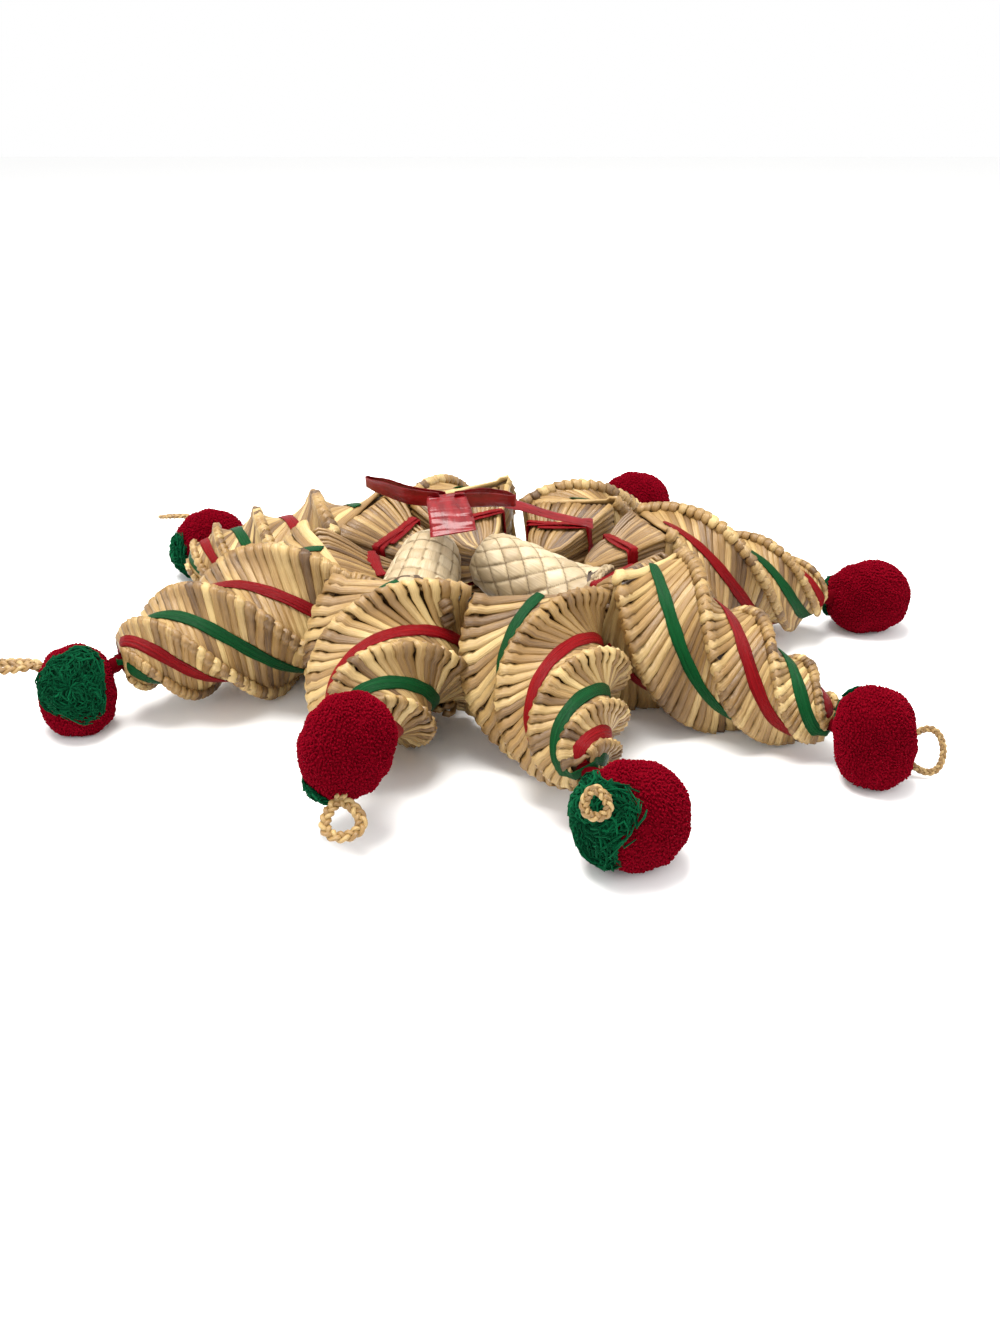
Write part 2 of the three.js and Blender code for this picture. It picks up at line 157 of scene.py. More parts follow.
def new_piece(name, part, finish, node):
    """Puts a part's numbers into a mesh, gives it its finish, and lets it stand for a solid."""
    points, faces, run = part
    mesh = bpy.data.meshes.new(name)
    mesh.from_pydata(to_frame(points), [], [row for block in faces for row in block.tolist()])
    mesh.attributes.new("run", "FLOAT_VECTOR", "POINT").data.foreach_set(
        "vector", run.astype(np.float32).ravel())
    mesh.polygons.foreach_set("use_smooth", np.ones(len(mesh.polygons), bool))
    mesh.materials.append(finish)
    mesh.validate()
    piece = placed(name, mesh)
    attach(piece, "root")
    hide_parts(node)
    print(f"{name}: {len(mesh.polygons)} faces")


# %% [markdown]
# Finishes are written as sums. A small class holds one socket, and its operators add the Math
# nodes, so tone * 0.8 + 0.1 builds two of them.

# %% Shader maths
class Field:
    """A number or colour that varies over a surface: one output socket of a material's nodes."""

    def __init__(self, finish, socket):
        self.finish, self.socket = finish, socket

    def _math(self, operation, first, second):
        return self.finish.node("ShaderNodeMath", {"operation": operation}, {0: first, 1: second})

    def __add__(self, other):
        return self._math("ADD", self, other)

    def __sub__(self, other):
        return self._math("SUBTRACT", self, other)

    def __rsub__(self, other):
        return self._math("SUBTRACT", other, self)

    def __mul__(self, other):
        return self._math("MULTIPLY", self, other)

    __radd__, __rmul__ = __add__, __mul__


# %% [markdown]
# A second class holds a whole material. One method makes any node; the others are short names for
# the nodes that every finish here uses.

# %% A finish
class Finish:
    """A material, with one method that adds any node and a few words for common ones."""

    def __init__(self, name):
        self.material = bpy.data.materials.new(name)
        self.material.use_nodes = True
        self.tree = self.material.node_tree
        self.tree.nodes.clear()

    def node(self, kind, settings=None, inputs=None, out=0):
        """Adds a node: settings first, then values or links of its inputs; gives an output."""
        made = self.tree.nodes.new(kind)
        for key, value in (settings or {}).items():
            if key == "stops":
                ramp = made.color_ramp.elements
                ramp[0].position, ramp[1].position = value[0][0], value[-1][0]
                ramp[0].color, ramp[1].color = (*value[0][1], 1), (*value[-1][1], 1)
                for place, colour in value[1:-1]:
                    ramp.new(place).color = (*colour, 1)
            else:
                setattr(made, key, value)
        for key, value in (inputs or {}).items():
            if isinstance(value, Field):
                self.tree.links.new(value.socket, made.inputs[key])
            else:
                made.inputs[key].default_value = value
        return Field(self, made.outputs[out]) if made.outputs else None

    def strip(self):
        """Millimetres along a strip and across it, and the strip's own shade, as one vector."""
        return self.node("ShaderNodeAttribute", {"attribute_name": "run"}, out="Vector")

    def shade(self, strip):
        """The third number of a strip: its own shade, 0 to 1."""
        return self.node("ShaderNodeSeparateXYZ", inputs={0: strip}, out=2)

    def place(self):
        """Where a point lies in the frame, in metres."""
        return self.node("ShaderNodeTexCoord", out="Object")

    def scaled(self, vector, scale):
        """Each coordinate times its own scale: a small number stretches a pattern that way."""
        return self.node("ShaderNodeVectorMath", {"operation": "MULTIPLY"}, {0: vector, 1: scale})

    def noise(self, vector, scale, detail=3.0, rough=0.55):
        """Cloudy noise, 0 to 1."""
        return self.node("ShaderNodeTexNoise", {}, {"Vector": vector, "Scale": scale,
                                                    "Detail": detail, "Roughness": rough})

    def ramp(self, value, stops):
        """Colour read from a ramp of (place, colour) stops."""
        return self.node("ShaderNodeValToRGB", {"stops": stops}, {0: value})

    def surface(self, colour, roughness, height, depth, **constants):
        """The shader itself: varying colour, roughness and bump; every other socket a constant."""
        bump = self.node("ShaderNodeBump", {}, {"Height": height, "Strength": 1.0,
                                                "Distance": depth})
        sockets = {"Base Color": colour, "Roughness": roughness, "Normal": bump}
        sockets.update({key.replace("_", " "): value for key, value in constants.items()})
        shader = self.node("ShaderNodeBsdfPrincipled", {}, sockets)
        self.node("ShaderNodeOutputMaterial", {}, {0: shader})
        return self.material


# %% [markdown]
# Straw is a hollow stalk with a waxy skin: satin, pale gold, each stalk a little paler or browner
# than the next, with fine fibres along it. The fibres are a noise stretched along the strip.

# %% Straw
def straw_finish(name, low, middle, high):
    """Shade = the straw's own tone + fibres along it + blotches; nearly black where it is lowest,
    which is painted shade for the gaps between straws.
    """
    finish = Finish(name)
    strip = finish.strip()
    tone = finish.shade(strip)
    fibre = finish.noise(finish.scaled(strip, (0.06, 2.6, 60.0)), 1.0, 4.0)
    blotch = finish.noise(finish.place(), 55.0, 3.0)
    shade = tone * 0.78 + (fibre - 0.5) * 0.5 + (blotch - 0.5) * 0.35 + 0.08
    # the first stop, nearly black, is painted shade: the dark core under the straws reads it
    colour = finish.ramp(shade, [(0.0, (0.03, 0.014, 0.005)), (0.2, low), (0.55, middle),
                                 (0.9, high)])
    return finish.surface(colour, 0.30 + fibre * 0.25, fibre, 0.0004, Specular_IOR_Level=0.55)


straw = straw_finish("straw", (0.09, 0.042, 0.011), (0.28, 0.158, 0.047), (0.56, 0.40, 0.165))
palm = straw_finish("palm_leaf", (0.20, 0.135, 0.065), (0.41, 0.31, 0.175), (0.56, 0.46, 0.30))


# %% [markdown]
# Raffia here is a thin flat plastic-like ribbon, crumpled lengthwise, with a satin shine. Its
# pleats are stripes across the strip that wander a little along it.

# %% Raffia
def raffia_finish(name, dark, bright):
    """Colour from dark to bright by the pleats and the band's own tone: painted shade in the
    pleats' hollows and painted light on their crests; duller on the pleats.
    """
    finish = Finish(name)
    strip = finish.strip()
    tone = finish.shade(strip)
    pleat = finish.noise(finish.scaled(strip, (0.035, 1.5, 9.0)), 1.0, 5.0, 0.6)
    colour = finish.ramp(pleat * 0.9 + tone * 0.3 - 0.1, [(0.15, dark), (0.75, bright)])
    return finish.surface(colour, 0.34 + pleat * 0.22, pleat, 0.0010, Specular_IOR_Level=0.12)


red_raffia = raffia_finish("red_raffia", (0.06, 0.0, 0.001), (0.24, 0.0002, 0.003))
green_raffia = raffia_finish("green_raffia", (0.0, 0.016, 0.004), (0.0, 0.070, 0.014))

# %% [markdown]
# Yarn hardly shines: light that grazes its hairs makes a soft edge, which the shader calls sheen.
# The foil is a smooth film with long creases.

# %% Yarn and foil
def yarn_finish(name, dark, bright, tint):
    """Colour from each thread's own tone and a very fine fuzz; the sheen has a tint."""
    finish = Finish(name)
    tone = finish.shade(finish.strip())
    fuzz = finish.noise(finish.place(), 900.0, 3.0, 0.7)
    colour = finish.ramp(tone * 0.75 + (fuzz - 0.5) * 0.3 + 0.16, [(0.1, dark), (0.9, bright)])
    return finish.surface(colour, 0.8 + fuzz * 0.2, fuzz, 0.0004, Sheen_Weight=0.45,
                          Sheen_Roughness=0.35, Sheen_Tint=(*tint, 1), Specular_IOR_Level=0.03)


def foil_finish(name, dark, bright):
    """Colour, gloss and bump all follow one noise that is stretched along the ribbon; the colour,
    darker in the creases' hollows and lighter on their crests, is painted shade and light.
    """
    finish = Finish(name)
    crease = finish.noise(finish.scaled(finish.strip(), (0.10, 0.30, 5.0)), 1.0, 3.0, 0.5)
    colour = finish.ramp(crease, [(0.3, dark), (0.7, bright)])
    return finish.surface(colour, 0.22 + crease * 0.15, crease, 0.0004, Specular_IOR_Level=0.35)


red_yarn = yarn_finish("red_yarn", (0.07, 0.0, 0.002), (0.20, 0.0002, 0.008), (0.9, 0.01, 0.05))
green_yarn = yarn_finish("green_yarn", (0.001, 0.012, 0.005), (0.002, 0.075, 0.027),
                         (0.02, 0.30, 0.12))
red_foil = foil_finish("red_foil", (0.10, 0.0, 0.001), (0.21, 0.0004, 0.003))
print("finishes:", [material.name for material in bpy.data.materials])


# %% [markdown]
# An arm is a spindle with a square section that turns as it runs to the tip, as a plait of four
# straws does. No two arms of a handmade star agree, so each has its own row. These are the same
# named values as in the solid model.

# %% The arms' numbers
INNER_AT, INNER_CORNER = 45, 14     # mm: an arm's blunt inner end and its corner radius there
INNER_SWELL = 0.9                   # below 1 the inner cone is fuller than a straight one
TIE_AT = 61                         # mm from the star's middle to the raffia tie
PUFF = 1.8                          # mm that the folds stand out over the solid's corners
PITCH_TIP, PITCH_WIDE = 1.3, 3.4    # mm from layer to layer on a thin arm and on the widest
WIDEST_CORNER = 41.5                # mm, the largest corner radius of any arm
FINE_STEPS = 800                    # steps along an arm when turns and layers are summed up

# place: distance and direction of the widest section, direction of the tip, reach, height, tip
# height, corner radius where it is widest and at the tip, swell, turn, twist
ARMS = {
    "left": (87, 194, 200.5, 186, 38.4, 30, 41.2, 4.5, 0.47, 39.5, 1.28),
    "front_left": (79.5, 234.6, 246, 145, 37.8, 34, 41.5, 8, 0.45, 45, 1.36),
    "front": (75, 281.8, 281, 163.5, 37, 29, 39.8, 6, 0.58, 43.5, 1.4),
    "front_right": (75, 326, 324.3, 174, 39.4, 16.8, 39.8, 6, 0.6, 40.5, 1.2),
    "right": (75, 12.4, 10.2, 170, 39, 21, 39.8, 5.5, 0.57, 129, 1.22),
    "back_right": (76, 59.5, 63, 168, 34.9, 23, 37.5, 5.5, 0.6, 38, 1.28),
    "back": (77, 106, 107.5, 144.5, 36.5, 24, 40.5, 5.5, 0.62, 40, 1.26),
    "back_left": (80, 150.3, 153.5, 195.5, 39.5, 20, 40, 5, 0.5, 38, 1.24),
}
print("corner radius where widest, mm:", {place: row[6] for place, row in ARMS.items()})

# %% [markdown]
# From a row the class works out an arm's axis, its corner radius, and how far its square section
# has turned. It turns faster where it is thinner, so the turn is summed in small steps.

# %% One arm's axis and sections
class Arm:
    """The axis of one arm and its sections, for any share of the way from widest part to tip."""

    def __init__(self, at, base, tip, reach, lift, tip_lift, wide, end, swell, turn, twist):
        self.at, self.degrees, self.lift = at, base, lift
        self.wide, self.end, self.swell = wide, end, swell
        self.base, tip_point = polar(base, at, lift), polar(tip, reach, tip_lift)
        self.length = np.linalg.norm(tip_point - self.base)
        self.out = unit(tip_point - self.base)
        self.up = unit(np.array([0, 0, 1.0]) - self.out * self.out[2])
        self.side = np.cross(self.out, self.up)
        self.fine = np.linspace(0, 1, FINE_STEPS + 1)
        rate = twist * self.length / self.radius(self.fine)
        steps = (rate[1:] + rate[:-1]) / 2 / FINE_STEPS
        self.turns = math.radians(turn) + np.concatenate([[0], np.cumsum(steps)])
        self.first_turn = math.radians(turn)

    def radius(self, share):
        """Corner radius: tip radius + (widest - tip radius) * (1 - share) ** swell."""
        return self.end + (self.wide - self.end) * np.clip(1 - share, 0, 1) ** self.swell

    def middle(self, share):
        """Point of the axis: base + way out * share * length."""
        return self.base + self.out * (np.asarray(share) * self.length)[..., None]

    def turn(self, share):
        """How far the section has turned, in radians."""
        return np.interp(share, self.fine, self.turns)

    def spoke(self, angle):
        """up * cos + side * sin: the direction at an angle from the top towards the side."""
        angle = np.asarray(angle)[..., None]
        return self.up * np.cos(angle) + self.side * np.sin(angle)

    def pitch(self, share):
        """Distance from one layer of plait to the next: it shrinks with the arm's radius."""
        return mix(PITCH_TIP, PITCH_WIDE, self.radius(share) / WIDEST_CORNER)

    def layers(self):
        """Shares at which the layers of plait lie."""
        step = self.length / FINE_STEPS / self.pitch(self.fine)
        count = np.concatenate([[0], np.cumsum((step[1:] + step[:-1]) / 2)])
        return np.interp(np.arange(0, count[-1]), count, self.fine)


arms = {place: Arm(*numbers) for place, numbers in ARMS.items()}
print("layers of plait:", {place: len(arm.layers()) for place, arm in arms.items()})


# %% [markdown]
# The bells lie on the arms, so straws that would run through a bell end at its wall instead. For
# that, a point is measured from a bell: how far along its axis and how far off it.

# %% The bells' place and profile
BELLS = {                           # middle of the crown, and a point on the axis to the mouth
    "left": (np.array([-33.5, 1.5, 63]), np.array([-41.5, -39, 43.2])),
    "right": (np.array([-12.5, -10.5, 62.5]), np.array([29, -28.6, 42])),
}
BELL_LENGTH = 60
BELL_SHARE = [0, 0.03, 0.12, 0.35, 0.6, 0.8, 0.92, 1]
BELL_RADIUS = [5, 10, 14, 16.9, 18.7, 20.9, 24, 27.2]


def from_bell(points, crown, toward):
    """Distance along the axis = (point - crown) . axis; the rest of (point - crown) points off
    the axis; the wall's radius is read from the profile."""
    axis = unit(toward - crown)
    along = (points - crown) @ axis
    off = (points - crown) - along[..., None] * axis
    return along, off, np.interp(along / BELL_LENGTH, BELL_SHARE, BELL_RADIUS)


def inside_bells(points, spare):
    """True where a point is nearer a bell's axis than its wall there plus spare."""
    hit = np.zeros(points.shape[:-1], bool)
    for crown, toward in BELLS.values():
        along, off, wall = from_bell(points, crown, toward)
        near = np.linalg.norm(off, axis=-1) < wall + spare
        hit |= (along > -spare) & (along < BELL_LENGTH + spare) & near
    return hit


# %% [markdown]
# A path is then cut down to its longest stretch outside both bells, and as many stations are
# spread over what is left, so that all paths stay in one array.

# %% Paths that stop at a bell
LOOKS = 61                          # places at which a path is tried against the bells


def resample(path, places):
    """Points of each path at places, given in stations: straight between stations."""
    low = np.clip(np.floor(places).astype(int), 0, path.shape[1] - 2)
    share = (places - low)[..., None]
    rows = np.arange(len(path))[:, None]
    return path[rows, low] * (1 - share) + path[rows, low + 1] * share


def clear_of_bells(path, spare=1.3):
    """Where each path's longest run outside the bells starts and ends, in stations."""
    stations = path.shape[1]
    fine = np.linspace(0, stations - 1, LOOKS)
    free = ~inside_bells(resample(path, np.tile(fine, (len(path), 1))), spare)
    count = np.zeros(free.shape, int)
    count[:, 0] = free[:, 0]
    for k in range(1, free.shape[1]):
        count[:, k] = np.where(free[:, k], count[:, k - 1] + 1, 0)
    stop = np.argmax(count, axis=1)
    length = np.max(count, axis=1)
    return fine[np.maximum(stop - length + 1, 0)], fine[stop], length / LOOKS


def trimmed(path, *others, least=0.2):
    """Each path on its longest stretch outside the bells; others are per-station values. Paths
    with less than a share of their length left are dropped."""
    start, stop, length = clear_of_bells(path)
    kept = length > least
    places = np.linspace(start, stop, path.shape[1], axis=1)
    out = [resample(one, places)[kept] for one in (path, *others)]
    return out, kept


# %% [markdown]
# Each layer is four straws. A straw starts with a fold: it comes round a corner from the
# neighbouring face, over the end of the straw there, then runs straight across its own face and
# dives under the next fold. Stacked up, the folds make the scaly ridges of the star and the
# straws its fanned, ribbed faces.

# %% Where a plaited straw runs
STATIONS = 11                       # rings along a plaited straw


def straw_paths(arm, share, pitch, thick):
    """Stations along a straw: three on the neighbouring face, one on the corner, the rest across
    its own face; each is start + way * distance + outward * lift + a shift along the rim. Also
    gives the way across the straw and its width: 1.12 times the widest space between layers."""
    radius = (arm.radius(share) + PUFF - 0.85 * thick)[:, None, None]
    quarter = np.arange(4) * np.pi / 2
    angle = arm.turn(share)[:, None] - quarter
    middle = arm.middle(share)[:, None]
    corner = middle + arm.spoke(angle) * radius
    after = middle + arm.spoke(angle - np.pi / 2) * radius
    before = middle + arm.spoke(angle + np.pi / 2) * radius
    face, neighbour, radial = (arm.spoke(angle - np.pi / 4), arm.spoke(angle + np.pi / 4),
                               arm.spoke(angle))
    ahead, back = unit(after - corner), unit(before - corner)
    step_here, step_after = np.gradient(corner, axis=0), np.gradient(after, axis=0)
    spaces = [np.linalg.norm(np.cross(step, ahead), axis=-1) for step in (step_here, step_after)]
    w, t = 1.36 * pitch[:, None, None], thick[:, None, None]
    lean = chance.normal(0, 0.10, (len(share), 4, 1))

    def spot(start, way, distance, outward, lift, shift=0.0):
        return start + way * (distance * w) + outward * (lift * t) + step_here * (shift + lean)

    def across_at(part):
        return mix(corner, after, part) + face * (0.06 * t)

    path = np.stack([
        spot(corner, back, 1.20, neighbour, 0.25, -0.80),
        spot(corner, back, 0.85, neighbour, 0.80, -0.62),
        spot(corner, back, 0.36, neighbour, 1.06, -0.36),
        spot(corner, ahead, 0.10, radial, 0.96, -0.12),
        spot(corner, ahead, 0.62, face, 0.66), spot(corner, ahead, 1.20, face, 0.20),
        across_at(0.32), across_at(0.55), across_at(0.78),
        spot(after, -ahead, 0.80, face, -0.15), spot(after, -ahead, 0.20, face, -0.50)], axis=2)
    parts = np.array([0, 0, 0, 0, 0.05, 0.12, 0.32, 0.55, 0.78, 0.92, 1])[:, None]
    across = step_here[:, :, None] * (1 - parts) + step_after[:, :, None] * parts
    outward = np.stack([neighbour] * 3 + [radial] + [face] * 7, axis=2)
    roll = 0.22 + chance.normal(0, 0.08, (len(share), 4, 1, 1))
    return path, unit(across) * np.cos(roll) + outward * np.sin(roll), 1.12 * np.maximum(*spaces)


# %% [markdown]
# The fold at the rim is wider and plumper than the rest, which makes the scales. Real straws
# differ, so each gets its own width, thickness and tone from a seeded draw.

# %% A plaited straw's width, thickness and tone
SPREAD = np.array([0.7, 1.08, 1.24, 1.2, 1.06, 0.96, 0.95, 0.96, 0.95, 0.95, 0.8])
PLUMP = np.array([0.6, 1.0, 1.2, 1.15, 1.0, 0.92, 0.95, 1.0, 0.95, 0.9, 0.7])


def plaited_straws(arm):
    """Width = the layers' spacing * the straw's own factor * spread; thickness likewise from the
    pitch. Straws that would keep less than 0.45 of their length beside a bell are left out."""
    share = arm.layers()
    pitch = np.gradient(share) * arm.length
    thick = 0.84 * pitch
    path, across, width = straw_paths(arm, share, pitch, thick)
    own = 1 + chance.normal(0, 0.05, (len(share), 4, 1))
    many = len(share) * 4
    tone = np.clip(chance.normal(0.60, 0.2, many), 0.2, 1)
    rows = [path.reshape(many, STATIONS, 3), across.reshape(many, STATIONS, 3),
            (width[..., None] * own * SPREAD).reshape(many, STATIONS, 1),
            (thick[:, None, None] * own * PLUMP).reshape(many, STATIONS, 1)]
    (path, across, wide, deep), kept = trimmed(*rows, least=0.45)
    return tubes(path, across, wide[..., 0], deep[..., 0], tone[kept])


# %% [markdown]
# Towards the middle of the star the straws are not plaited: they run lengthways, drawn together
# by a raffia tie. This inner cone has a formula of its own, from the blunt end to the widest part.

# %% The inner cone
def inner_radius(arm, share):
    """Corner radius from the blunt end (0) to the widest part (1), pinched where the tie is."""
    pinch = 1 - 0.10 * np.exp(-((share - 0.5) / 0.16) ** 2)
    return mix(INNER_CORNER, arm.wide, np.clip(share, 0, 1.2) ** INNER_SWELL) * pinch


def inner_point(arm, share, around, shrink=0.0, gather=1.0):
    """A point of the inner cone. around runs 0..4 over the four sides of the square section;
    shrink takes millimetres off the corner radius; gather pulls sideways to the middle line."""
    corner = np.floor(around)
    part = (around - corner)[..., None]
    angle = arm.first_turn - corner * np.pi / 2
    radius = (inner_radius(arm, share) - shrink)[..., None]
    up, side = np.array([0, 0, 1.0]), polar(arm.degrees - 90, 1, 0)

    def spoke(turned):
        return np.stack([np.cos(turned), np.sin(turned)], axis=-1)

    flat = (spoke(angle) * (1 - part) + spoke(angle - np.pi / 2) * part) * radius
    distance = mix(INNER_AT, arm.at, share)
    middle = polar(arm.degrees, distance, arm.lift)
    return middle + up * flat[..., :1] + side * (flat[..., 1:] * np.asarray(gather)[..., None])


# %% [markdown]
# The gathered straws lie side by side round that cone. Under the first layers of plait they dive
# inwards, and at the blunt end they fold over to the middle line.

# %% Gathered straws
GATHERED = 64                       # straws round one arm
GATHERED_AT = np.array([1.09, 1.0, 0.85, 0.68, 0.5, 0.34, 0.18, 0.05, -0.03, -0.06])
FOLDED_IN = np.array([1, 1, 1, 1, 1, 1, 1, 0.92, 0.55, 0.08])


def gathered_straws(arm):
    """Straws at even places round the square, along the cone and folded in at the blunt end."""
    around = (np.arange(GATHERED) + chance.uniform(-0.25, 0.25, GATHERED)) * 4 / GATHERED % 4
    share, gather, around = np.broadcast_arrays(GATHERED_AT, FOLDED_IN, around[:, None])
    sunk = 2.2 + chance.uniform(-0.8, 0.6, (GATHERED, 1)) + np.where(share > 1, 5.0, 0)
    path = inner_point(arm, share, around, sunk, gather)
    beside = inner_point(arm, share, around + 0.02, sunk, gather)
    centre = polar(arm.degrees, mix(INNER_AT, arm.at, share), arm.lift)
    across = np.cross(unit(path - centre), polar(arm.degrees, 1, 0))
    across = np.where(np.sum(across * (beside - path), -1, keepdims=True) < 0, -across, across)
    wide = mix(2.5, 4.1, np.clip(share, 0, 1))[..., None]
    # their tone, around 0.42, is below the plaited straws' 0.60: painted shade deep in the middle
    # of the star
    tone = np.clip(chance.normal(0.42, 0.17, GATHERED), 0.1, 1)
    (path, across, wide), kept = trimmed(path, across, wide)
    return tubes(path, across, wide[..., 0], wide[..., 0] * 0.62, tone[kept])


# %% [markdown]
# Between straws one would see right through an arm. A dark spindle of the same section lies a few
# millimetres under them; its near-black colour is painted shade, seen in the gaps.

# %% The dark core
CORE_PLACES = 16                    # points round the core, four to a side
CORE_INNER, CORE_OUTER = 14, 60     # rings along the inner cone and along the plait


def core(arm):
    """A square spindle under the straws, at tone 0, the straw ramp's near-black: painted shade;
    points inside a bell are pushed out to its wall.
    """
    around = np.arange(CORE_PLACES) * 4 / CORE_PLACES
    inner = np.linspace(0.02, 0.98, CORE_INNER)
    rings = [inner_point(arm, *np.broadcast_arrays(inner[:, None], around), 5.0)]
    share = np.linspace(0, 1, CORE_OUTER)
    corner = np.floor(around)
    part = (around - corner)[:, None]
    angle = arm.turn(share)[:, None] - corner * np.pi / 2
    radius = np.maximum(arm.radius(share) - 4.4 * arm.radius(share) / (arm.radius(share) + 12), 1)
    spoke = arm.spoke(angle) * (1 - part) + arm.spoke(angle - np.pi / 2) * part
    rings.append(arm.middle(share)[:, None] + spoke * radius[:, None, None])
    points = np.concatenate(rings)
    for crown, toward in BELLS.values():
        along, off, wall = from_bell(points, crown, toward)
        short = wall + 0.2 - np.linalg.norm(off, axis=-1)
        push = (along > -1) & (along < BELL_LENGTH + 2) & (short > 0)
        points = np.where(push[..., None], points + unit(off) * short[..., None], points)
    # tone 0 everywhere: the near-black of the straw ramp, painted shade between the straws
    return stacked_rings(points, np.zeros(points.shape))


# %% The straw arms
for place, arm in arms.items():
    arm_part = join_parts([plaited_straws(arm), gathered_straws(arm), core(arm)])
    new_piece(f"straw_arm_{place}", arm_part, straw, f"arm_{place}")


# %% [markdown]
# The raffia bands lie in the valleys of two opposite faces and cross at the tip. They wander a
# little, as a soft ribbon that is wound by hand does.

# %% Raffia bands
BAND_STATIONS = 70                  # rings along one leg of a band


def band(arm, face, first, over):
    """Middle of the band = axis + face normal * (distance of the straws + a little); it runs out
    along one face, over the tip, and back along the opposite face."""
    share = np.linspace(first, 1, BAND_STATIONS)
    pitch = arm.pitch(share)
    level = 0.7071 * (arm.radius(share) + PUFF - 0.72 * pitch) + 0.42 * pitch + 0.8
    narrowed = np.interp(share, [first, first + 0.06], [0.75, 1])
    half = np.minimum(2.9, 0.34 * arm.radius(share)) * narrowed
    angle = arm.turn(share) - np.pi / 4 - face * np.pi / 2
    normal, cross = arm.spoke(angle), arm.spoke(angle + np.pi / 2)
    middle = arm.middle(share)
    tip = middle[-1] + arm.out * over
    out_leg, back_leg = middle + normal * level[:, None], middle - normal * level[:, None]
    rounded = np.stack([tip + normal[-1] * level[-1] * side for side in (0.8, 0, -0.8)])
    path = np.concatenate([out_leg, rounded, back_leg[::-1]])
    wander = np.cumsum(chance.normal(0, 0.05, len(path)))
    across = np.concatenate([cross, cross[-1:].repeat(3, 0), cross[::-1]])
    path = path + across * (wander - np.linspace(wander[0], wander[-1], len(wander)))[:, None]
    width = 2 * np.concatenate([half, half[-1:].repeat(3), half[::-1]])
    width = width * (1 + 0.05 * np.sin(np.arange(len(path)) * 0.7))
    return tubes(path[None], across[None], width[None], np.full((1, len(path)), 0.8),
                 chance.uniform(0.3, 0.7, 1), sides=14)


# %% [markdown]
# The tie is one strip wound twice round the gathered straws. It is crumpled, so its height and
# width follow a smoothed draw: a moving average of random numbers.

# %% Raffia ties
def smooth_draw(count, over, spread=1.0):
    """A moving average over a few normal draws, for count places."""
    return np.convolve(chance.normal(0, spread, count + over - 1), np.ones(over) / over, "valid")


def tie(arm):
    """A point of the inner cone, for a bit more than two turns round its four sides (0..4)."""
    around = np.linspace(0.4, 8.8, 170)
    share = (TIE_AT - INNER_AT) / (arm.at - INNER_AT) + 0.06 * np.sin(around * 1.9)
    path = inner_point(arm, share, around % 4, -0.9 - 0.55 * smooth_draw(len(around), 9))
    across = polar(arm.degrees, 1, 0) + np.zeros(path.shape)
    width = 5.2 + 1.4 * smooth_draw(len(around), 7)
    start, stop, _ = clear_of_bells(path[None], 0.8)
    places = np.linspace(start, stop, len(around), axis=1)
    path, across = resample(path[None], places), resample(across[None], places)
    return tubes(path, across, width[None], np.full((1, len(around)), 1.0), [0.6], sides=12)


for place, arm in arms.items():
    new_piece(f"green_raffia_{place}", band(arm, 0, 0.0, 2.2), green_raffia,
              f"green_band_{place}")
    new_piece(f"red_raffia_{place}", band(arm, 1, 0.03, 0.5), red_raffia,
              f"red_band_{place}")
    new_piece(f"raffia_tie_{place}", tie(arm), red_raffia, f"tie_{place}")

# %% [markdown]
# A pompom is hundreds of yarn ends cut to one length. Hand-cut ones are never true balls: each is
# longer one way and a little boxy. Its green tuft and its hanging loop are in the same row.

